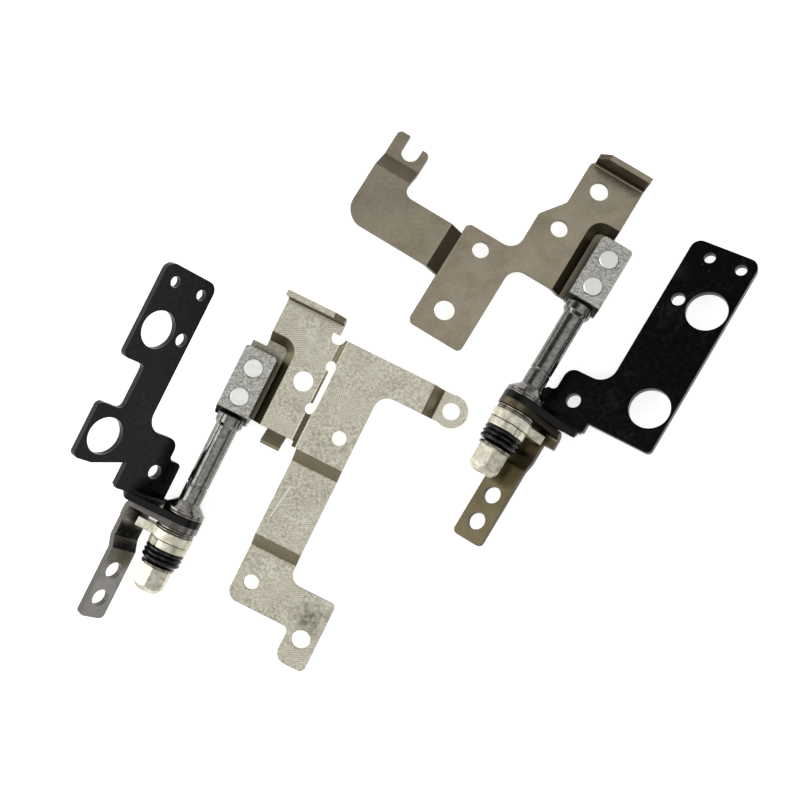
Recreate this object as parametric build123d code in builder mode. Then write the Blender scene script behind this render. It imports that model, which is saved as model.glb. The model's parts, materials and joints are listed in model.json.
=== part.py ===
"""A pair of screen hinges: friction shafts, each with a folded lid bracket and a black base bracket."""

import math
import os

from build123d import *

os.makedirs("parts", exist_ok=True)

# Where each hinge lies: a point on its shaft midway between the rivets, and the way the shaft points
left_x, left_y, left_axis_height = -23.365, 2.5, 2.57
right_x, right_y, right_axis_height = 25.715, 17.52, 3.07
left_heading_angle, right_heading_angle = 63.6, 58.4
left_roll_angle, left_pitch_angle = -1.65, 1.04
right_roll_angle, right_pitch_angle = 2.79, 5.18
left_open_angle, right_open_angle = 128.0, 154.0

# Sheet and folds
lid_sheet = 0.8
base_sheet = 1.0
foot_sheet = 0.9
lid_bend = 0.4
base_bend = 0.5
corner_round = 0.8

# Shaft
rod_diameter = 3.2
block_width = 4.8
block_thickness = 3.2
block_start, block_end = -4.9, 5.7
block_chamfer, block_round = 1.2, 0.6
groove_place, groove_width, groove_depth = 15.9, 0.3, 0.15
neck_diameter, neck_gap, neck_length, neck_taper = 4.0, 0.2, 1.2, 0.5
relief = 0.3
overlap = 1.0
collar_start = 18.5
collar_cone, collar_rim = 1.2, 0.4
collar_diameter = 5.8
spindle_diameter = 2.8
spindle_flats = 2.1
thread_diameter = 2.3
rivet_diameter = 2.7
rivet_spacing = 4.4
rivet_crown = 0.12
fit = 0.03

# Stack on the spindle, in order from the collar to the nut
washer_diameter, inner_washer_diameter, rim_chamfer = 5.8, 5.6, 0.1
thrust_thickness = 0.4
friction_thickness = 0.4
friction_count = 2
lug_thickness = 1.3
lug_width, lug_angle = 2.0, 48.0
notched_thickness = 1.2
notch_width, notch_depth, notch_out = 0.7, 0.7, 1.4
spring_diameter, spring_thickness, spring_rise, spring_count = 5.6, 0.65, 0.3, 3
spring_rim = 0.22
nut_washer_diameter, nut_washer_thickness = 4.9, 0.45
nut_flats, nut_height, nut_dome, nut_crown, nut_shoulder = 4.2, 2.7, 0.9, 3.1, 2.1

# Lid brackets: the recess under the block, and the levels of the folded plates over the shaft axis
recess_depth = 1.3
recess_angle = 45.0
recess_round = 2.2
land_top = recess_depth - block_thickness / 2
seat_margin = 0.9
flange_height, flange_slant = 3.6, 1.5

# Left lid bracket
arm_rise = 1.0
leg_drop = 1.5
left_land_end, left_land_near = -13.3, -0.3
left_land_far, left_land_bottom = 10.0, 4.5
left_recess_far, left_recess_end = 4.0, -8.1
left_flange_far = 8.5
arm_edge, arm_width = -11.4, 4.5
leg_gap, leg_width = 0.2, 7.1
ring_step = 23.7
ring_step_run = 1.5
ring_out, ring_along, ring_radius, ring_hole = 27.3, -9.1, 2.4, 2.5
leg_step_1, leg_step_2, leg_step_run = 5.2, 18.5, 1.8
pad_end, toe_length, toe_width, toe_far, toe_start = 28.6, 4.8, 4.7, 24.9, 22.8
arm_round, pad_round, relief_radius = 2.0, 1.7, 1.1
slit_width, slit_start, slit_end, slit_lobe = 0.9, -7.2, -0.6, 0.8
land_hole, land_hole_out, land_hole_along = 2.9, 6.7, -3.6
leg_hole, leg_hole_out, leg_hole_along = 2.1, 14.9, 1.3
pad_hole, pad_hole_out, pad_hole_along = 2.2, 12.6, 25.2
toe_hole, toe_hole_inset = 2.7, 4.1
tab_near, tab_width, tab_length, tab_angle = 5.2, 2.9, 2.2, 40.0

# Right lid bracket
hook_rise = 1.8
right_land_end, right_land_near = -13.9, 0.6
right_land_far, right_land_bottom = 9.1, 5.0
right_recess_far, right_recess_end = 4.6, -7.1
right_flange_far = 8.6
shoulder_far, shoulder_top, shoulder_slope = 11.7, -3.4, -6.8
main_far, main_top = 19.5, 3.0
post_near, post_bottom = 11.0, 19.4
hook_step, hook_step_run = 19.4, 1.8
hook_near, hook_far = 29.2, 34.8
hook_top, hook_bottom = 4.8, 11.7
tip_step, tip_step_run, tip_drop = 3.0, 2.4, 1.8
tip_end, tip_short_end, tip_notch, tip_notch_out, tip_notch_end = -3.5, -2.6, 2.6, 31.7, -0.1
hook_round, hook_inner_round, tip_round = 2.8, 1.4, 0.7
right_holes = ((16.0, 5.4, 2.4), (15.9, 15.4, 2.9), (8.1, -3.0, 2.5), (6.0, -10.6, 2.7))

# Base brackets, seen square to the plate: reach out from the shaft, and place along it
base_drop = 3.6
left_base_far, right_base_far = 18.3, 18.0
left_base_top, right_base_top = -10.1, -11.7
left_base_bottom, right_base_bottom = 18.2, 18.8
slant_out, slant_rise = 15.3, 1.5
left_base_near, right_base_near = 9.6, 8.1
left_big_hole, right_big_hole, big_spacing = 5.3, 5.7, 15.6
left_big_out, right_big_out = 15.1, 14.8
left_big_along, right_big_along = -1.3, -2.5
pair_hole, pair_spacing, pair_out = 1.6, 4.7, 13.7
left_pair_lead, right_pair_lead = 6.6, 7.2
third_hole, third_gap = 1.9, 1.5
tab_hole, tab_hole_out, tab_hole_along = 2.1, 4.9, 16.8
left_web, right_web = 11.6, 12.7
left_step_out, right_step_out = 3.5, 1.8
left_step, right_step = 14.6, 16.6
left_web_near, right_web_near = 1.2, 0.2
web_far, web_lip, web_gap = 7.7, 0.3, 0.3
base_round, plate_round, web_round, step_round = 2.4, 1.4, 1.5, 0.7
waist_start, waist_end, waist_out = 3.7, 10.2, 14.4
head_diameter = 5.9

# Foot brackets
left_foot_near, left_foot_width, left_foot_length = 1.3, 4.2, 17.5
right_foot_near, right_foot_width, right_foot_length = -0.7, 4.7, 19.5
foot_drop, foot_step, foot_step_place, foot_step_run = 4.6, 0.8, 27.0, 1.6
foot_root_far, foot_root_length = 5.6, 2.6
foot_hole, foot_hole_inset, foot_hole_spacing = 2.5, 3.0, 4.2

# Places along the spindle that follow from the sizes above
collar_end = collar_start + collar_cone + collar_rim
base_ear = collar_end + thrust_thickness + fit
foot_ear = base_ear + base_sheet
friction_start = foot_ear + foot_sheet + fit
lug_start = friction_start + friction_count * friction_thickness
notched_start = lug_start + lug_thickness + fit
spring_start = notched_start + notched_thickness
spring_pitch = spring_thickness + fit
nut_washer_start = spring_start + spring_count * spring_pitch + spring_rise
nut_start = nut_washer_start + nut_washer_thickness
nut_end = nut_start + nut_height + nut_dome
spindle_end = nut_washer_start - relief
arm_top = land_top + arm_rise
shin_top = arm_top - leg_drop
pad_top = shin_top - leg_drop
hook_plate_top = land_top + hook_rise
tip_top = hook_plate_top - tip_drop
ear_hole = spindle_diameter + 2 * fit
lug_lean = math.radians(lug_angle)
lug_reach = (foot_drop - fit - lug_width / 2 * math.cos(lug_lean)) / math.sin(lug_lean)
nut_bore = thread_diameter + 2 * fit
leg_near = left_land_far + leg_gap
toe_end = pad_end + toe_length
toe_hole_along = toe_end - toe_hole_inset
neck_start = right_land_bottom + neck_gap
neck_end = neck_start + neck_length
far_away = 60.0


class Frame:
    """Three directions from a point on a shaft axis: out across it, along it to the nut, and up."""

    def __init__(self, origin, out, along, up):
        self.origin, self.out, self.along, self.up = origin, out, along, up
        self.hand = round(out.cross(along).dot(up))

    def plan(self, height):
        """Sketch plane of out and along, at a height over the axis; its normal is up where hand is 1."""
        return Plane(self.origin + self.up * height, x_dir=self.out, z_dir=self.out.cross(self.along))

    def end(self, place):
        """Sketch plane of out and up, square to the axis."""
        return Plane(self.origin + self.along * place, x_dir=self.out, z_dir=self.out.cross(self.up))

    def side(self, reach):
        """Sketch plane of along and up, at a reach out from the axis."""
        return Plane(self.origin + self.out * reach, x_dir=self.along, z_dir=self.along.cross(self.up))

    def opened(self, opening):
        """The frame of the base side, which is turned round the shaft by the opening angle."""
        turn = math.radians(180 - opening)
        out = self.up * math.sin(turn) - self.out * math.cos(turn)
        return Frame(self.origin, out, self.along, self.out * math.sin(turn) + self.up * math.cos(turn))


def lay(x, y, height, heading, side, roll, pitch):
    """A hinge on the table; side is 1 with the lid bracket to the shaft's right and -1 to its left."""
    turn, rise = math.radians(heading), math.radians(pitch)
    along = Vector(-math.cos(turn) * math.cos(rise), -math.sin(turn) * math.cos(rise), math.sin(rise))
    level = Vector(math.sin(turn), -math.cos(turn), 0) * side
    lift = (level.cross(along)) * -side
    lean = math.radians(roll)
    out = level * math.cos(lean) - lift * math.sin(lean)
    return Frame(Vector(x, y, height), out, along, lift * math.cos(lean) + level * math.sin(lean))


left = lay(
    left_x, left_y, left_axis_height, left_heading_angle, 1, left_roll_angle, left_pitch_angle
)
right = lay(
    right_x, right_y, right_axis_height, right_heading_angle, -1, right_roll_angle, right_pitch_angle
)
left_base, right_base = left.opened(left_open_angle), right.opened(right_open_angle)


def pane(out_0, out_1, along_0, along_1, mode=Mode.ADD):
    """A rectangle between two reaches and two places, in the sketch that is open."""
    with Locations(((out_0 + out_1) / 2, (along_0 + along_1) / 2)):
        Rectangle(abs(out_1 - out_0), abs(along_1 - along_0), mode=mode)


def hole(out, along, diameter):
    """A round hole in the sketch that is open."""
    with Locations((out, along)):
        Circle(diameter / 2, mode=Mode.SUBTRACT)


def round_corners(sketch, radius, *places):
    """Rounds the corners of a sketch that lie nearest to the places given."""
    for place in places:
        fillet(sketch.vertices().sort_by_distance(Vector(*place))[0], radius)


def folded(plane, points, sheet, bend):
    """A sheet's folded section, from the line of its upper face."""
    with BuildSketch(plane) as section:
        with BuildLine():
            FilletPolyline(*points, radius=bend)
            offset(amount=sheet, side=Side.RIGHT)
        make_face()
    return section.sketch


def washer(frame, start, thickness, outer, inner):
    """A plain flat ring on the spindle, with the edges of its rim broken."""
    with BuildPart() as ring:
        with BuildSketch(frame.end(start)):
            Circle(outer / 2)
        extrude(amount=thickness, dir=frame.along)
        chamfer(ring.edges().filter_by(GeomType.CIRCLE), rim_chamfer)
        with BuildSketch(frame.end(start)):
            Circle(inner / 2)
        extrude(amount=thickness, dir=frame.along, mode=Mode.SUBTRACT)
    return ring.part


def make_shaft(frame):
    """Block, rod, flared collar, flatted spindle and thread, with the block's rivet holes."""
    with BuildPart() as shaft:
        with BuildSketch(frame.plan(0)) as block:
            pane(-block_width / 2, block_width / 2, block_start, block_end)
            far_corners = ((-block_width / 2, block_start), (block_width / 2, block_start))
            round_corners(block, block_round, *far_corners)
        extrude(amount=block_thickness / 2, both=True)
        lower_end = shaft.faces().sort_by(Axis(frame.origin, frame.along))[-1]
        chamfer(lower_end.edges().filter_by(Axis(frame.origin, frame.out)), block_chamfer)
        with BuildSketch(frame.plan(0)):
            with BuildLine():
                Polyline(
                    (0, neck_start),
                    (neck_diameter / 2, neck_start),
                    (neck_diameter / 2, neck_end),
                    (rod_diameter / 2, neck_end + neck_taper),
                    (rod_diameter / 2, groove_place),
                    (rod_diameter / 2 - groove_depth, groove_place),
                    (rod_diameter / 2 - groove_depth, groove_place + groove_width),
                    (rod_diameter / 2, groove_place + groove_width),
                    (rod_diameter / 2, collar_start),
                    (collar_diameter / 2, collar_start + collar_cone),
                    (collar_diameter / 2, collar_end),
                    (spindle_diameter / 2, collar_end),
                    (spindle_diameter / 2, spindle_end),
                    (thread_diameter / 2, spindle_end),
                    (thread_diameter / 2, nut_end - nut_dome),
                    (0, nut_end - nut_dome),
                    close=True,
                )
            make_face()
        revolve(axis=Axis(frame.origin, frame.along))
        with BuildSketch(frame.end(friction_start)):
            for side in (-1, 1):
                pane(-spindle_diameter, spindle_diameter, side * spindle_flats / 2, side * spindle_diameter)
        extrude(amount=spindle_end - friction_start, dir=frame.along, mode=Mode.SUBTRACT)
        with BuildSketch(frame.plan(0)):
            with Locations((0, -rivet_spacing / 2), (0, rivet_spacing / 2)):
                Circle(rivet_diameter / 2 + fit)
        extrude(amount=block_thickness, both=True, mode=Mode.SUBTRACT)
    return shaft.part


def make_rivets(frame):
    """Two crowned rivets through the block and the bracket's seat, flush below."""
    with BuildPart() as rivets:
        with BuildSketch(frame.plan(-block_thickness / 2 - lid_sheet)):
            with Locations((0, -rivet_spacing / 2), (0, rivet_spacing / 2)):
                Circle(rivet_diameter / 2)
        extrude(amount=block_thickness + lid_sheet + rivet_crown, dir=frame.up)
        crowns = rivets.faces().filter_by(GeomType.PLANE).group_by(Axis(frame.origin, frame.up))[-1]
        chamfer(crowns.edges(), rivet_crown)
    return rivets.part


def keyed_ring(frame, start, thickness, outer):
    """A ring with two flats in its bore, which turns with the spindle."""
    with BuildPart() as ring:
        with BuildSketch(frame.end(start)):
            Circle(outer / 2)
        extrude(amount=thickness, dir=frame.along)
        chamfer(ring.edges().filter_by(GeomType.CIRCLE), rim_chamfer)
        with BuildSketch(frame.end(start)):
            Circle(spindle_diameter / 2 + fit)
            Rectangle(2 * spindle_diameter, spindle_flats + 2 * fit, mode=Mode.INTERSECT)
        extrude(amount=thickness, dir=frame.along, mode=Mode.SUBTRACT)
    return ring.part


def make_friction_washers(frame):
    """The thin friction discs between the foot's ear and the lug washer."""
    with BuildPart() as discs:
        for step in range(friction_count):
            start = friction_start + step * friction_thickness
            add(keyed_ring(frame, start, friction_thickness - fit, inner_washer_diameter))
    return discs.part


def make_lug_washer(frame):
    """Thick zinc washer with the long lug that bears on the foot bracket."""
    with BuildPart() as lug:
        with BuildSketch(frame.end(lug_start)):
            Circle(washer_diameter / 2)
            with Locations(Location((0, 0), -lug_angle)):
                with Locations((lug_reach / 2, 0)):
                    Rectangle(lug_reach, lug_width)
            Circle(ear_hole / 2, mode=Mode.SUBTRACT)
        extrude(amount=lug_thickness, dir=frame.along)
    return lug.part


def make_notched_washer(frame):
    """Keyed zinc washer with a small notch in its rim."""
    with BuildPart() as ring:
        add(keyed_ring(frame, notched_start, notched_thickness, inner_washer_diameter))
        with BuildSketch(frame.end(notched_start)):
            with Locations((-notch_out, inner_washer_diameter / 2)):
                Rectangle(notch_width, 2 * notch_depth)
        extrude(amount=notched_thickness, dir=frame.along, mode=Mode.SUBTRACT)
    return ring.part


def make_disc_springs(frame):
    """Dished springs with bevelled rims, nested one in the next."""
    inner, outer = spindle_diameter / 2 + 2 * fit, spring_diameter / 2
    with BuildPart() as springs:
        for step in range(spring_count):
            start = spring_start + step * spring_pitch
            with BuildSketch(frame.plan(0)):
                with BuildLine():
                    Polyline(
                        (inner, start + spring_rise),
                        (outer - spring_rim, start),
                        (outer, start + spring_rim),
                        (outer, start + spring_thickness - spring_rim),
                        (outer - spring_rim, start + spring_thickness),
                        (inner, start + spring_rise + spring_thickness),
                        close=True,
                    )
                make_face()
            revolve(axis=Axis(frame.origin, frame.along))
    return springs.part


def make_nut(frame):
    """Lock nut: a hexagon whose far end is drawn in to a crown."""
    with BuildPart() as nut:
        with BuildSketch(frame.end(nut_start)):
            RegularPolygon(nut_flats / 2, 6, major_radius=False, rotation=30)
        extrude(amount=nut_height + nut_dome, dir=frame.along)
        with BuildSketch(frame.plan(0)):
            with BuildLine():
                Polyline(
                    (0, nut_start),
                    (nut_flats, nut_start),
                    (nut_flats, nut_start + nut_height - nut_shoulder),
                    (nut_crown / 2, nut_end),
                    (0, nut_end),
                    close=True,
                )
            make_face()
        revolve(axis=Axis(frame.origin, frame.along), mode=Mode.INTERSECT)
        with BuildSketch(frame.end(nut_start)):
            Circle(thread_diameter / 2 + fit)
        extrude(amount=nut_height + nut_dome, dir=frame.along, mode=Mode.SUBTRACT)
    return nut.part


def press_recess(frame, far, end):
    """Presses the block's seat down out of a bracket's land, with sloping walls on two sides."""
    spread = lid_sheet * math.tan(math.radians(recess_angle) / 2)
    down = -frame.hand * recess_depth
    with BuildSketch(frame.plan(land_top - lid_sheet)) as boss:
        pane(-far_away, far + spread, end - spread, far_away)
        round_corners(boss, recess_round + spread, (far, end))
    extrude(boss.sketch, amount=down, taper=recess_angle)
    with BuildSketch(frame.plan(land_top)) as pocket:
        pane(-far_away, far, end, far_away)
        round_corners(pocket, recess_round, (far, end))
    extrude(pocket.sketch, amount=down, taper=recess_angle, mode=Mode.SUBTRACT)


def raise_flange(frame, place, near, far):
    """Adds the flange that is folded up along the end of a bracket's land."""
    section = ((place, land_top + flange_height), (place, land_top), (place + 2 * lid_sheet, land_top))
    extrude(folded(frame.side(near), section, lid_sheet, lid_bend), amount=far - near, dir=frame.out)
    with BuildSketch(frame.end(place)) as slant:
        with BuildLine():
            Polyline(
                (far - flange_slant, land_top + flange_height),
                (far, land_top + flange_height),
                (far, land_top + flange_height / 2),
                close=True,
            )
        make_face()
    extrude(slant.sketch, amount=2 * lid_sheet, both=True, mode=Mode.SUBTRACT)


def drill_rivets(frame):
    """Takes the rivet holes out of the part that is open."""
    with BuildSketch(frame.plan(0)) as holes:
        with Locations((0, -rivet_spacing / 2), (0, rivet_spacing / 2)):
            Circle(rivet_diameter / 2 + fit)
    extrude(holes.sketch, amount=far_away, dir=-frame.up, mode=Mode.SUBTRACT)


def make_left_lid_bracket(frame):
    """Land with the pressed seat, arm with a ring tab, and a leg that steps down twice to its pad."""
    leg_far, arm_bottom = leg_near + leg_width, arm_edge + arm_width
    toe_near = toe_far - toe_width
    with BuildPart() as arm:
        section = (
            (-block_width, land_top),
            (left_land_far - arm_rise, land_top),
            (left_land_far, arm_top),
            (ring_step, arm_top),
            (ring_step + ring_step_run, pad_top),
            (ring_out + 2 * ring_radius, pad_top),
        )
        sheet = folded(frame.end(left_land_end), section, lid_sheet, lid_bend)
        extrude(sheet, amount=leg_step_1 - left_land_end, dir=frame.along)
        press_recess(frame, left_recess_far, left_recess_end)
        with BuildSketch(frame.plan(0)) as outline:
            pane(left_land_near, left_flange_far, left_land_end, left_land_bottom)
            pane(left_land_near, left_land_far, arm_edge, left_land_bottom)
            pane(-block_width / 2, left_recess_far, block_start - seat_margin, left_land_bottom)
            pane(left_flange_far, ring_out, arm_edge, arm_bottom)
            pane(leg_near - slit_width, leg_far, arm_edge, leg_step_1)
            round_corners(outline, arm_round, (leg_far, arm_bottom))
            with Locations((ring_out, ring_along)):
                Circle(ring_radius)
            with Locations((left_flange_far, arm_edge)):
                Circle(relief_radius, mode=Mode.SUBTRACT)
            pane(leg_near - slit_width, leg_near, slit_start, slit_end, Mode.SUBTRACT)
            for place in (slit_start, slit_end):
                hole(leg_near - slit_width, place, 2 * slit_lobe)
            hole(ring_out, ring_along, ring_hole)
            hole(land_hole_out, land_hole_along, land_hole)
            hole(leg_hole_out, leg_hole_along, leg_hole)
        extrude(amount=far_away, both=True, mode=Mode.INTERSECT)
        drill_rivets(frame)
    with BuildPart() as leg:
        section = (
            (leg_hole_along + leg_hole, arm_top),
            (leg_step_1, arm_top),
            (leg_step_1 + leg_step_run, shin_top),
            (leg_step_2, shin_top),
            (leg_step_2 + leg_step_run, pad_top),
            (toe_end + overlap, pad_top),
        )
        sheet = folded(frame.side(leg_near), section, lid_sheet, lid_bend)
        extrude(sheet, amount=toe_far - leg_near, dir=frame.out)
        with BuildSketch(frame.plan(0)) as outline:
            pane(leg_near, leg_far, leg_step_1 - overlap, pad_end)
            pane(leg_near, toe_far, toe_start, pad_end)
            pane(toe_near, toe_far, toe_start, toe_end)
            wide = ((leg_near, pad_end), (leg_far, toe_start), (toe_near, toe_end))
            tight = ((toe_near, pad_end), (toe_far, toe_end), (toe_far, toe_start))
            round_corners(outline, pad_round, *wide)
            round_corners(outline, corner_round, *tight)
            hole(pad_hole_out, pad_hole_along, pad_hole)
            hole((toe_near + toe_far) / 2, toe_hole_along, toe_hole)
        extrude(amount=far_away, both=True, mode=Mode.INTERSECT)
    with BuildPart() as bracket:
        add(arm.part)
        add(leg.part)
        raise_flange(frame, left_land_end, left_land_near, left_flange_far)
        lean = math.radians(tab_angle)
        tab = (
            (land_hole_along + land_hole, land_top),
            (left_land_bottom, land_top),
            (left_land_bottom + tab_length * math.cos(lean), land_top + tab_length * math.sin(lean)),
        )
        extrude(folded(frame.side(tab_near), tab, lid_sheet, lid_bend), amount=tab_width, dir=frame.out)
    return bracket.part


def make_right_lid_bracket(frame):
    """Land with the pressed seat, post, and a raised hook plate whose slotted tip steps down again."""
    with BuildPart() as land:
        section = (
            (-block_width, land_top),
            (hook_step, land_top),
            (hook_step + hook_step_run, hook_plate_top),
            (hook_far + overlap, hook_plate_top),
        )
        sheet = folded(frame.end(right_land_end), section, lid_sheet, lid_bend)
        extrude(sheet, amount=post_bottom - right_land_end, dir=frame.along)
        press_recess(frame, right_recess_far, right_recess_end)
        with BuildSketch(frame.plan(0)) as outline:
            pane(right_land_near, right_land_far, right_land_end, right_land_bottom)
            pane(-block_width / 2, right_recess_far, block_start - seat_margin, right_land_bottom)
            with BuildLine():
                Polyline(
                    (right_recess_far, shoulder_slope),
                    (right_land_far, shoulder_slope),
                    (shoulder_far, shoulder_top),
                    (shoulder_far, right_land_bottom),
                    (right_recess_far, right_land_bottom),
                    close=True,
                )
            make_face()
            pane(right_land_far, main_far, main_top, right_land_bottom)
            pane(post_near, main_far, main_top, post_bottom)
            pane(post_near, hook_far, hook_top, hook_bottom)
            pane(hook_near, hook_far, tip_step, hook_bottom)
            round_corners(outline, hook_round, (hook_far, hook_bottom))
            round_corners(outline, hook_inner_round, (hook_near, hook_top))
            round_corners(outline, arm_round, (post_near, right_land_bottom), (shoulder_far, main_top))
            round_corners(
                outline,
                corner_round,
                (right_land_far, right_land_end),
                (right_land_far, shoulder_slope),
                (shoulder_far, shoulder_top),
                (post_near, post_bottom),
                (main_far, post_bottom),
                (main_far, main_top),
            )
            for out, along, diameter in right_holes:
                hole(out, along, diameter)
        extrude(amount=far_away, both=True, mode=Mode.INTERSECT)
        drill_rivets(frame)
    with BuildPart() as tip:
        section = (
            (tip_end - overlap, tip_top),
            (tip_step - tip_step_run, tip_top),
            (tip_step, hook_plate_top),
            (tip_step + overlap, hook_plate_top),
        )
        sheet = folded(frame.side(hook_near), section, lid_sheet, lid_bend)
        extrude(sheet, amount=hook_far - hook_near, dir=frame.out)
        with BuildSketch(frame.plan(0)) as outline:
            pane(hook_near, hook_far, tip_short_end, tip_step + overlap)
            pane(tip_notch_out, hook_far, tip_end, tip_step)
            with Locations((tip_notch_out, tip_notch_end - tip_notch / 2)):
                Circle(tip_notch / 2, mode=Mode.SUBTRACT)
            mouth, half = tip_notch_end - tip_notch / 2, tip_notch / 2
            pane(tip_notch_out - half, tip_notch_out + half, tip_end, mouth, Mode.SUBTRACT)
            round_corners(outline, tip_round, (hook_near, tip_short_end), (hook_far, tip_end))
        extrude(amount=far_away, both=True, mode=Mode.INTERSECT)
    with BuildPart() as bracket:
        add(land.part)
        add(tip.part)
        raise_flange(frame, right_land_end, right_land_near, right_flange_far)
    return bracket.part


def make_base_bracket(frame, near, base_far, base_top, base_bottom, web, big, waisted):
    """Drilled base plate with its web, and the round-headed ear that is folded up on to the shaft."""
    ear_end = base_ear + base_sheet
    web_top, step_out, step_along, web_near = web
    big_hole, big_out, big_along, pair_lead = big
    with BuildPart() as bracket:
        section = ((base_top, -base_drop), (base_ear, -base_drop), (base_ear, head_diameter))
        sheet = folded(frame.side(-head_diameter), section, base_sheet, base_bend)
        extrude(sheet, amount=base_far + head_diameter, dir=frame.out)
        with BuildSketch(frame.plan(0)) as outline:
            pane(near, base_far, base_top, base_bottom)
            pane(step_out, near, web_top, base_ear)
            pane(web_near, near, step_along, base_ear)
            pane(web_far, near + web_lip, base_bottom, base_ear - web_gap)
            pane(-head_diameter, web_far, base_ear - base_bend, ear_end)
            round_corners(outline, base_round, (near, web_top))
            round_corners(outline, plate_round, (base_far, base_top), (near, base_top))
            round_corners(outline, corner_round, (base_far, base_bottom))
            round_corners(outline, web_round, (step_out, web_top))
            round_corners(outline, step_round, (step_out, step_along), (web_near, step_along))
            if waisted:
                pane(waist_out, base_far, waist_start, waist_end, Mode.SUBTRACT)
                round_corners(outline, corner_round, (waist_out, waist_start), (waist_out, waist_end))
                round_corners(outline, corner_round, (base_far, waist_start), (base_far, waist_end))
                with BuildLine():
                    Polyline(
                        (slant_out, base_bottom),
                        (near + web_lip, base_bottom - slant_rise),
                        (near + web_lip, base_bottom),
                        close=True,
                    )
                make_face(mode=Mode.SUBTRACT)
            hole(big_out, big_along, big_hole)
            hole(big_out, big_along + big_spacing, big_hole)
            hole(pair_out - pair_spacing / 2, big_along - pair_lead, pair_hole)
            hole(pair_out + pair_spacing / 2, big_along - pair_lead, pair_hole)
            hole(big_out - big_hole / 2 - third_gap, big_along, third_hole)
            hole(tab_hole_out, tab_hole_along, tab_hole)
        extrude(amount=far_away, both=True, mode=Mode.INTERSECT)
        with BuildSketch(frame.end(base_ear)) as ear:
            Circle(head_diameter / 2)
            pane(web_near, web_far, -base_drop - base_sheet, -base_drop)
            make_hull()
            pane(web_near, base_far, -base_drop - base_sheet, -base_drop)
            Circle(ear_hole / 2, mode=Mode.SUBTRACT)
        extrude(amount=far_away, both=True, mode=Mode.INTERSECT)
    return bracket.part


def make_foot_bracket(frame, foot_near, foot_width, foot_length):
    """Narrow second bracket: an ear on the shaft, folded to a stepped strip that takes two screws."""
    nut_face, foot_far, foot_end = foot_ear + foot_sheet, foot_near + foot_width, foot_ear + foot_length
    foot_middle = foot_near + foot_width / 2
    with BuildPart() as bracket:
        section = (
            (nut_face, head_diameter),
            (nut_face, -foot_drop),
            (foot_step_place, -foot_drop),
            (foot_step_place + foot_step_run, foot_step - foot_drop),
            (foot_end + overlap, foot_step - foot_drop),
        )
        sheet = folded(frame.side(-head_diameter), section, foot_sheet, base_bend)
        extrude(sheet, amount=foot_root_far + head_diameter, dir=frame.out)
        with BuildSketch(frame.plan(0)) as outline:
            pane(-head_diameter, foot_root_far, foot_ear, nut_face)
            pane(foot_near, foot_root_far, foot_ear, foot_ear + foot_root_length)
            pane(foot_near, foot_far, foot_ear, foot_end)
            round_corners(outline, corner_round, (foot_near, foot_end), (foot_far, foot_end))
            for step in range(2):
                hole(foot_middle, foot_end - foot_hole_inset - step * foot_hole_spacing, foot_hole)
        extrude(amount=far_away, both=True, mode=Mode.INTERSECT)
        with BuildSketch(frame.end(foot_ear)):
            Circle(head_diameter / 2)
            pane(foot_near, foot_root_far, -foot_drop - foot_sheet, foot_step - foot_drop)
            make_hull()
            Circle(ear_hole / 2, mode=Mode.SUBTRACT)
        extrude(amount=far_away, both=True, mode=Mode.INTERSECT)
    return bracket.part


def write(name, part):
    """Labels a piece and writes its file."""
    part.label = name
    export_step(part, f"parts/{name}.step")


for side, lid, base in (("left", left, left_base), ("right", right, right_base)):
    write(f"{side}_shaft", make_shaft(lid))
    write(f"{side}_rivets", make_rivets(lid))
    write(f"{side}_thrust_washer", washer(lid, collar_end, thrust_thickness, washer_diameter, ear_hole))
    write(f"{side}_friction_washers", make_friction_washers(lid))
    write(f"{side}_lug_washer", make_lug_washer(base))
    write(f"{side}_notched_washer", make_notched_washer(lid))
    write(f"{side}_disc_springs", make_disc_springs(lid))
    seat = washer(lid, nut_washer_start, nut_washer_thickness, nut_washer_diameter, nut_bore)
    write(f"{side}_nut_washer", seat)
    write(f"{side}_nut", make_nut(lid))
write("left_lid_bracket", make_left_lid_bracket(left))
write("right_lid_bracket", make_right_lid_bracket(right))
left_plate = (left_base_near, left_base_far, left_base_top, left_base_bottom)
right_plate = (right_base_near, right_base_far, right_base_top, right_base_bottom)
left_inner = (left_web, left_step_out, left_step, left_web_near)
right_inner = (right_web, right_step_out, right_step, right_web_near)
left_big = (left_big_hole, left_big_out, left_big_along, left_pair_lead)
right_big = (right_big_hole, right_big_out, right_big_along, right_pair_lead)
left_black = make_base_bracket(left_base, *left_plate, left_inner, left_big, waisted=True)
right_black = make_base_bracket(right_base, *right_plate, right_inner, right_big, waisted=False)
write("left_base_bracket", left_black)
write("right_base_bracket", right_black)
left_foot = (left_foot_near, left_foot_width, left_foot_length)
right_foot = (right_foot_near, right_foot_width, right_foot_length)
write("left_foot_bracket", make_foot_bracket(left_base, *left_foot))
write("right_foot_bracket", make_foot_bracket(right_base, *right_foot))
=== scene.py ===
import json
import math

import bpy
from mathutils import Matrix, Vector

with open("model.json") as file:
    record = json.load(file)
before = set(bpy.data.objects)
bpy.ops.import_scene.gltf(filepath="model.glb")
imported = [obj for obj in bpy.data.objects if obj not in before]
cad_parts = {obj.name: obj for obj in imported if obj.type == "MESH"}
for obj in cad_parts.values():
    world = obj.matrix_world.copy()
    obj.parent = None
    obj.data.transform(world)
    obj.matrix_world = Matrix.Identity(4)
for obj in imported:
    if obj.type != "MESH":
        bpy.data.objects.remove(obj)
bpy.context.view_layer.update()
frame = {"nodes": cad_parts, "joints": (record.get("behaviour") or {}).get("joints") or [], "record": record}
scene = bpy.context.scene
nodes = frame["nodes"]
mounts = {mount["name"]: mount for mount in frame["record"]["mounts"]}

# Camera: straight down on the pair, in metres
CAMERA_PLACE = (-0.002095, 0.00011, 0.150)
CAMERA_LENS, CAMERA_SENSOR = 47.25, 36.0

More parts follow.
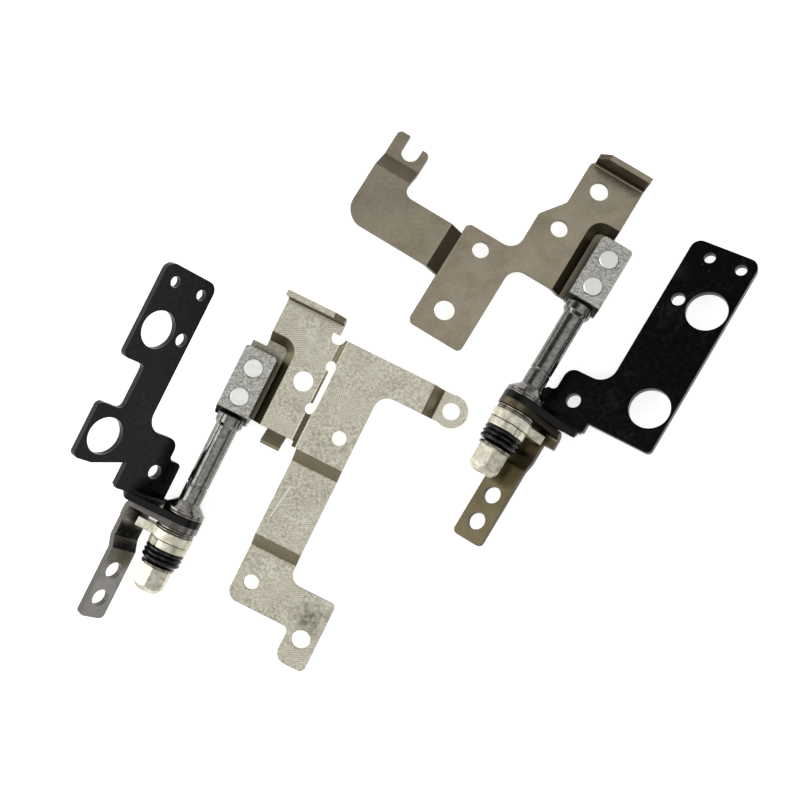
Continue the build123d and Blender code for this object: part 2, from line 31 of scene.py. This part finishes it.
# Wear on the left lid bracket, from its toe hole: a brown stain and one long scratch
STAIN_OFFSET, STAIN_CORE, STAIN_EDGE = Vector((0.0015, 0.0030, 0)), 0.0009, 0.0034
SCRATCH_START, SCRATCH_END = Vector((-0.0044, 0.0173, 0)), Vector((-0.0011, 0.0221, 0))
SCRATCH_WIDTH = 0.00016

# The shaft's satin block ends at its neck, this far from the hinge's reference point, after a band painted
# dark as the shade and dark reflection of a rounded edge
NECK_START, NECK_END, PAINTED_EDGE_BAND = 0.0050, 0.0053, 0.0006

# The block's seat in a lid bracket, painted darker as shade: depths below the land, and distances from the
# hinge's reference point
SEAT_SHALLOW, SEAT_DEEP = 0.0006, 0.0012
SEAT_CORE, SEAT_EDGE = 0.008, 0.0095

# Floor just under the pair, and a low round wall that closes the background in the side views
FLOOR_SIZE, FLOOR_DROP = 2.0, 0.00002
WALL_RADIUS, WALL_HEIGHT, WALL_MIDDLE = 0.99, 0.30, 0.149

# Sky: grey by the cosine of the angle from its brightest direction
SKY_HEADING = Vector((0.25, -0.10, 0.96)).normalized()
SKY_FIRST, SKY_LAST = 0.38, 0.96
SKY_STOPS = ((0.25, 0.24), (0.45, 0.08), (0.64, 0.12), (0.80, 0.50), (0.90, 0.92))

# Key light
KEY_PLACE, KEY_SIZE, KEY_POWER = (-0.42, 0.02, 0.26), (0.50, 0.50), 1.7


class Look:
    """A material under construction: one Principled shader and the nodes that feed it."""

    def __init__(self, name, metallic, roughness, color):
        self.material = bpy.data.materials.new(name)
        self.material.use_nodes = True
        self.tree = self.material.node_tree
        self.shader = self.tree.nodes["Principled BSDF"]
        self.shader.inputs["Metallic"].default_value = metallic
        self.shader.inputs["Roughness"].default_value = roughness
        self.shader.inputs["Base Color"].default_value = (*color, 1)
        coordinates = self.tree.nodes.new("ShaderNodeTexCoord")
        self.place, self.normal = coordinates.outputs["Object"], coordinates.outputs["Normal"]

    def link(self, source, target):
        self.tree.links.new(source, target)

    def math(self, operation, a, b=0.0):
        """One Math node; each input is a socket or a number."""
        node = self.tree.nodes.new("ShaderNodeMath")
        node.operation = operation
        for socket, value in zip(node.inputs, (a, b)):
            if isinstance(value, float):
                socket.default_value = value
            else:
                self.link(value, socket)
        return node.outputs["Value"]

    def vector_math(self, operation, source, other, output="Vector"):
        """One Vector Math node on a socket and a constant vector."""
        node = self.tree.nodes.new("ShaderNodeVectorMath")
        node.operation = operation
        node.inputs[1].default_value = other
        self.link(source, node.inputs[0])
        return node.outputs[output]

    def stretched(self, scale, turn=0.0):
        """Place on the piece in metres, turned about Z and scaled along each axis."""
        mapping = self.tree.nodes.new("ShaderNodeMapping")
        mapping.inputs["Rotation"].default_value = (0, 0, math.radians(turn))
        mapping.inputs["Scale"].default_value = scale
        self.link(self.place, mapping.inputs["Vector"])
        return mapping.outputs["Vector"]

    def noise(self, vector, scale, detail=4.0, rough=0.55, distortion=0.0):
        node = self.tree.nodes.new("ShaderNodeTexNoise")
        node.inputs["Scale"].default_value = scale
        node.inputs["Detail"].default_value = detail
        node.inputs["Roughness"].default_value = rough
        node.inputs["Distortion"].default_value = distortion
        self.link(vector, node.inputs["Vector"])
        return node.outputs["Fac"]

    def ramp(self, factor, *stops):
        """A colour ramp from (position, colour) stops."""
        node = self.tree.nodes.new("ShaderNodeValToRGB")
        while len(node.color_ramp.elements) < len(stops):
            node.color_ramp.elements.new(0.5)
        for element, (position, color) in zip(node.color_ramp.elements, stops):
            element.position = position
            element.color = (*color, 1)
        self.link(factor, node.inputs["Fac"])
        return node.outputs["Color"]

    def span(self, factor, seat_shade, high, start=0.0, end=1.0):
        """Maps a factor from start..end to low..high."""
        node = self.tree.nodes.new("ShaderNodeMapRange")
        node.inputs["From Min"].default_value = start
        node.inputs["From Max"].default_value = end
        node.inputs["To Min"].default_value = seat_shade
        node.inputs["To Max"].default_value = high
        self.link(factor, node.inputs["Value"])
        return node.outputs["Result"]

    def mix(self, factor, a, b):
        """One Mix node for colours; each input is a socket or a constant."""
        node = self.tree.nodes.new("ShaderNodeMix")
        node.data_type = "RGBA"
        if isinstance(factor, float):
            node.inputs["Factor"].default_value = factor
        else:
            self.link(factor, node.inputs["Factor"])
        for socket, value in ((node.inputs[6], a), (node.inputs[7], b)):
            if isinstance(value, tuple):
                socket.default_value = (*value, 1)
            else:
                self.link(value, socket)
        return node.outputs[2]

    def folds(self, up):
        """1 on the slopes and edges of a sheet, 0 on its flat faces."""
        lean = self.vector_math("DOT_PRODUCT", self.normal, up, "Value")
        return self.span(self.math("ABSOLUTE", lean), 1.0, 0.0, 0.78, 0.96)

    def painted_occlusion(self, reach):
        """1 deep in the corners and seams that face up, 0 on open faces: the mask of the shade painted into
        them.
        """
        node = self.tree.nodes.new("ShaderNodeAmbientOcclusion")
        node.samples = 8
        node.inputs["Distance"].default_value = reach
        rise = self.vector_math("DOT_PRODUCT", self.normal, (0, 0, 1), "Value")
        depth = self.span(node.outputs["AO"], 1.0, 0.0, 0.30, 0.85)
        return self.math("MULTIPLY", depth, self.span(rise, 0.0, 1.0, 0.0, 0.3))

    def swirls(self, centre, wavelength):
        """Fine polishing rings round an upright line, broken up by a little noise."""
        node = self.tree.nodes.new("ShaderNodeTexWave")
        node.wave_type = "RINGS"
        node.rings_direction = "Z"
        node.inputs["Scale"].default_value = math.pi / (10 * wavelength)
        node.inputs["Distortion"].default_value = 5.0
        node.inputs["Detail"].default_value = 3.0
        node.inputs["Detail Scale"].default_value = 0.25
        self.link(self.vector_math("SUBTRACT", self.place, centre), node.inputs["Vector"])
        return node.outputs["Fac"]

    def spot(self, centre, core, edge):
        """1 within a core radius of an upright line, fading to 0 at an edge radius."""
        flat = self.vector_math("MULTIPLY", self.vector_math("SUBTRACT", self.place, centre), (1, 1, 0))
        distance = self.vector_math("LENGTH", flat, (0, 0, 0), "Value")
        return self.span(distance, 1.0, 0.0, core, edge)

    def streak(self, start, end, width):
        """1 on a straight mark between two places, seen from above."""
        heading = (end - start).normalized()
        across = Vector((-heading.y, heading.x, 0))
        offset = self.vector_math("SUBTRACT", self.place, start)
        run = self.vector_math("DOT_PRODUCT", offset, heading, "Value")
        off = self.math("ABSOLUTE", self.vector_math("DOT_PRODUCT", offset, across, "Value"))
        half = (end - start).length / 2
        along = self.math("ABSOLUTE", self.math("SUBTRACT", run, half))
        inside = self.span(off, 1.0, 0.0, 0.0, width)
        return self.math("MULTIPLY", inside, self.span(along, 1.0, 0.0, 0.8 * half, half))

    def bump(self, height, strength, distance, edge=0.00012):
        """Surface relief over edges that are worn round by a small radius."""
        worn = self.tree.nodes.new("ShaderNodeBevel")
        worn.samples = 6
        worn.inputs["Radius"].default_value = edge
        node = self.tree.nodes.new("ShaderNodeBump")
        self.link(worn.outputs["Normal"], node.inputs["Normal"])
        node.inputs["Strength"].default_value = strength
        node.inputs["Distance"].default_value = distance
        self.link(height, node.inputs["Height"])
        self.link(node.outputs["Normal"], self.shader.inputs["Normal"])


def nickel(
    name, light, dark, shade, roughness, turn, up, grained, rubbed=0.0, centres=(), seat=None, toe=None
):
    """Satin nickel sheet: mottled grain, hairlines, polishing swirls, and painted shade on the slopes and
    edges of its folds.

    turn is the hairlines' heading in degrees, up the normal of the flat faces, and grained and rubbed are
    the strengths of grain and swirls. A lid bracket also has its swirls' centres, the hinge's place, round
    which the seat below the land is painted darker as shade, and, on the left, the toe hole by its stain and
    scratch.
    """
    look = Look(name, 1.0, roughness, light)
    clouds = look.noise(look.place, 260, 4, 0.6, 0.4)
    grain = look.noise(look.place, 2500, 2, 0.5)
    tone = look.ramp(clouds, (0.32, dark), (0.66, light))
    tone = look.mix(grained, tone, look.ramp(grain, (0.36, dark), (0.62, light)))
    for number, centre in enumerate(centres):
        rings = look.ramp(look.swirls(centre, 0.00030), (0.15, dark), (0.85, light))
        patches = look.noise(look.stretched((1, 1, 1), 40.0 * number), 240, 2)
        tone = look.mix(look.span(patches, 0.0, rubbed, 0.50, 0.64), tone, rings)
    for heading in (turn, turn + 70):
        hair = look.noise(look.stretched((1, 24, 1), heading), 520, 2)
        tone = look.mix(look.span(hair, 0.0, 0.55, 0.66, 0.72), tone, light)
    relief = grain
    if toe is not None:
        blots = look.noise(look.place, 800, 4, 0.7)
        around = look.spot(toe + STAIN_OFFSET, STAIN_CORE, STAIN_EDGE)
        stain = look.math("MULTIPLY", around, look.span(blots, 0.1, 1.0, 0.36, 0.62))
        tone = look.mix(stain, tone, tuple(0.5 * value for value in dark))
        mark = look.streak(toe + SCRATCH_START, toe + SCRATCH_END, SCRATCH_WIDTH)
        tone = look.mix(look.math("MULTIPLY", mark, 0.8), tone, (0.98, 0.97, 0.90))
        relief = look.math("SUBTRACT", grain, look.math("MULTIPLY", mark, 1.5))
    # Painted shade: the slopes and edges of the sheet take the darker shade colour
    folds = look.folds(up)
    tone = look.mix(folds, tone, shade)
    # Painted shade: the seat round the hinge, below the land, is darkened
    if seat is not None:
        above_land = look.vector_math("SUBTRACT", look.place, centres[0])
        rise = look.vector_math("DOT_PRODUCT", above_land, up, "Value")
        below = look.span(rise, 0.9, 0.0, -SEAT_DEEP, -SEAT_SHALLOW)
        seat_shade = look.math("MULTIPLY", below, look.spot(seat, SEAT_CORE, SEAT_EDGE))
        tone = look.mix(seat_shade, tone, tuple(0.3 * value for value in shade))
    # Painted shade: corners and seams that face up are darkened by their ambient occlusion
    tone = look.mix(look.painted_occlusion(0.0012), tone, tuple(0.3 * value for value in shade))
    look.link(tone, look.shader.inputs["Base Color"])
    rough = look.span(grain, roughness - 0.02, roughness + 0.04, 0.32, 0.68)
    rough = look.math("ADD", rough, look.math("MULTIPLY", folds, 0.08))
    look.link(rough, look.shader.inputs["Roughness"])
    look.bump(relief, 0.12 * grained, 0.00004, 0.00007)
    return look.material


def coat(name):
    """Gloss black dip coat with faint orange peel, a film of dust in places and light specks."""
    look = Look(name, 0.0, 0.24, (0.002, 0.002, 0.002))
    dust = look.noise(look.place, 170, 5, 0.7, 0.6)
    film = look.ramp(dust, (0.56, (0.0012, 0.0012, 0.0012)), (0.78, (0.022, 0.021, 0.018)))
    specks = look.span(look.noise(look.place, 2600, 2, 0.5), 0.0, 1.0, 0.73, 0.80)
    look.link(look.mix(specks, film, (0.10, 0.10, 0.09)), look.shader.inputs["Base Color"])
    look.shader.inputs["Specular IOR Level"].default_value = 0.22
    peel = look.noise(look.place, 1500, 3)
    look.link(look.span(peel, 0.16, 0.32, 0.3, 0.7), look.shader.inputs["Roughness"])
    look.bump(peel, 0.12, 0.00008, 0.00018)
    return look.material


def turned(name, light, dark, roughness):
    """Turned or plated steel with faint handling marks and painted shade in its corners and seams that face
    up.
    """
    look = Look(name, 1.0, roughness, light)
    marks = look.noise(look.place, 1100, 4, 0.6)
    tone = look.ramp(marks, (0.36, dark), (0.64, light))
    # Painted shade: corners and seams that face up are darkened by their ambient occlusion
    tone = look.mix(look.painted_occlusion(0.0007), tone, tuple(0.12 * value for value in dark))
    look.link(tone, look.shader.inputs["Base Color"])
    rough = look.span(marks, roughness - 0.06, roughness + 0.1, 0.3, 0.7)
    look.link(rough, look.shader.inputs["Roughness"])
    look.bump(marks, 0.10, 0.00005, 0.00016)
    return look.material


def shafting(name, joint):
    """Satin, scratched block with a band painted dark at its end as shade and dark reflection, and a dark,
    polished rod from the neck on.
    """
    look = Look(name, 1.0, 0.3, (0.6, 0.6, 0.57))
    marks = look.noise(look.place, 1700, 5, 0.7)
    speckle = look.noise(look.place, 3200, 4, 0.65)
    block = look.ramp(speckle, (0.40, (0.26, 0.255, 0.23)), (0.60, (0.60, 0.59, 0.545)))
    for heading in (15, 65, 120):
        hair = look.noise(look.stretched((1, 14, 1), heading), 900, 2)
        block = look.mix(look.span(hair, 0.0, 0.7, 0.62, 0.70), block, (0.88, 0.87, 0.82))
    rod = look.ramp(marks, (0.36, (0.13, 0.127, 0.117)), (0.64, (0.29, 0.283, 0.262)))
    to_nut = Vector(joint["axis"]).normalized()
    to_nut *= -1 if to_nut.y > 0 else 1
    reach = look.vector_math("DOT_PRODUCT", look.place, to_nut, "Value")
    start = Vector(joint["pos_m"]).dot(to_nut)
    neck = start + NECK_START
    past_neck = look.span(reach, 0.0, 1.0, neck, start + NECK_END)
    # Painted shade and reflection: a dark band across the block just before its neck, for a rounded edge the
    # block lacks
    edge_shade = look.span(reach, 0.0, 0.92, neck - PAINTED_EDGE_BAND, neck - 0.6 * PAINTED_EDGE_BAND)
    block = look.mix(edge_shade, block, (0.03, 0.03, 0.028))
    look.link(look.mix(past_neck, block, rod), look.shader.inputs["Base Color"])
    look.link(look.span(past_neck, 0.34, 0.13), look.shader.inputs["Roughness"])
    look.bump(marks, 0.14, 0.00004, 0.00016)
    return look.material


left_up, right_up = (mounts[side + "_lid_land_hole"]["axis"] for side in ("left", "right"))
left_foot_up, right_foot_up = (mounts[side + "_foot_far_hole"]["axis"] for side in ("left", "right"))
toe_hole = Vector(mounts["left_lid_toe_hole"]["pos_m"])
land_hole = Vector(mounts["left_lid_land_hole"]["pos_m"])
right_hole = Vector(mounts["right_lid_land_hole"]["pos_m"])
places = {joint["name"]: Vector(joint["pos_m"]) for joint in frame["joints"]}
looks = {
    "left_lid_nickel": nickel(
        "left_lid_nickel", (0.78, 0.75, 0.63), (0.36, 0.33, 0.25), (0.24, 0.21, 0.14), 0.30, 26,
        left_up, grained=0.6, rubbed=0.55, centres=(land_hole, toe_hole), seat=places["left_hinge"],
        toe=toe_hole,
    ),
    "right_lid_nickel": nickel(
        "right_lid_nickel", (0.41, 0.36, 0.27), (0.27, 0.232, 0.168), (0.085, 0.07, 0.047), 0.30, 32,
        right_up, grained=0.35, rubbed=0.2, centres=(right_hole,), seat=places["right_hinge"],
    ),
    "left_foot_steel": nickel(
        "left_foot_steel", (0.24, 0.23, 0.215), (0.15, 0.145, 0.135), (0.10, 0.095, 0.085), 0.24, 64,
        left_foot_up, grained=0.1,
    ),
    "right_foot_steel": nickel(
        "right_foot_steel", (0.185, 0.155, 0.092), (0.135, 0.112, 0.064), (0.05, 0.042, 0.028), 0.28, 58,
        right_foot_up, grained=0.1,
    ),
    "black_coat": coat("black_coat"),
    "rivet_steel": turned("rivet_steel", (0.99, 0.98, 0.95), (0.90, 0.89, 0.86), 0.40),
    "oiled_steel": turned("oiled_steel", (0.36, 0.335, 0.28), (0.12, 0.11, 0.09), 0.22),
    "yellow_zinc": turned("yellow_zinc", (0.88, 0.85, 0.72), (0.52, 0.485, 0.365), 0.42),
    "spring_steel": turned("spring_steel", (0.05, 0.05, 0.05), (0.015, 0.015, 0.015), 0.18),
}
for part in frame["record"]["subparts"]:
    mesh = nodes[part["node"]].data
    mesh.materials.clear()
    mesh.materials.append(looks.get(part["material_slot"]))
for joint in frame["joints"]:
    shaft = joint["name"].replace("hinge", "shaft")
    nodes[shaft].data.materials[0] = shafting(shaft + "_steel", joint)


def backdrop(name, color, glow):
    """Matt white that the camera, metal and glass see as white, with the shadows left on it."""
    look = Look(name, 0.0, 0.9, color)
    rays = look.tree.nodes.new("ShaderNodeLightPath").outputs
    seen = look.math("MAXIMUM", rays["Is Camera Ray"], rays["Is Glossy Ray"])
    seen = look.math("MAXIMUM", seen, rays["Is Transmission Ray"])
    look.shader.inputs["Emission Color"].default_value = (1, 1, 1, 1)
    look.link(look.math("MULTIPLY", seen, glow), look.shader.inputs["Emission Strength"])
    return look.material


bpy.ops.mesh.primitive_plane_add(size=FLOOR_SIZE, location=(0, 0, -FLOOR_DROP))
floor = bpy.context.object
floor.name = "floor"
white = backdrop("floor_white", (0.85, 0.85, 0.85), 0.7)
floor.data.materials.append(white)
bpy.ops.mesh.primitive_cylinder_add(
    vertices=96, radius=WALL_RADIUS, depth=WALL_HEIGHT, end_fill_type="NOTHING",
    location=(0, 0, WALL_MIDDLE),
)
wall = bpy.context.object
wall.name = "wall"
wall.data.materials.append(white)

world = bpy.data.worlds.new("studio")
world.use_nodes = True
sky = world.node_tree
heading = sky.nodes.new("ShaderNodeTexCoord").outputs["Generated"]
towards = sky.nodes.new("ShaderNodeVectorMath")
towards.operation = "DOT_PRODUCT"
towards.inputs[1].default_value = SKY_HEADING
sky.links.new(heading, towards.inputs[0])
panel = sky.nodes.new("ShaderNodeValToRGB")
for position, grey in SKY_STOPS:
    stop = panel.color_ramp.elements.new(position)
    stop.color = (grey, grey, grey, 1)
panel.color_ramp.elements[0].color = (SKY_FIRST, SKY_FIRST, SKY_FIRST, 1)
panel.color_ramp.elements[-1].color = (SKY_LAST, SKY_LAST, SKY_LAST, 1)
sky.links.new(towards.outputs["Value"], panel.inputs["Fac"])
sky.links.new(panel.outputs["Color"], sky.nodes["Background"].inputs["Color"])
scene.world = world


def softbox(name, place, size, power):
    """An area light that looks at the middle of the pair."""
    light = bpy.data.lights.new(name, "AREA")
    light.shape = "RECTANGLE"
    light.size, light.size_y = size
    light.energy = power
    lamp = bpy.data.objects.new(name, light)
    lamp.location = place
    lamp.rotation_euler = (Vector((0, 0, 0)) - Vector(place)).to_track_quat("-Z", "Y").to_euler()
    scene.collection.objects.link(lamp)


softbox("key", KEY_PLACE, KEY_SIZE, KEY_POWER)

camera_data = bpy.data.cameras.new("camera")
camera_data.lens = CAMERA_LENS
camera_data.sensor_width = CAMERA_SENSOR
camera_data.clip_start = 0.001
camera = bpy.data.objects.new("camera", camera_data)
camera.location = CAMERA_PLACE
scene.collection.objects.link(camera)
scene.camera = camera
scene.view_settings.view_transform = "Standard"
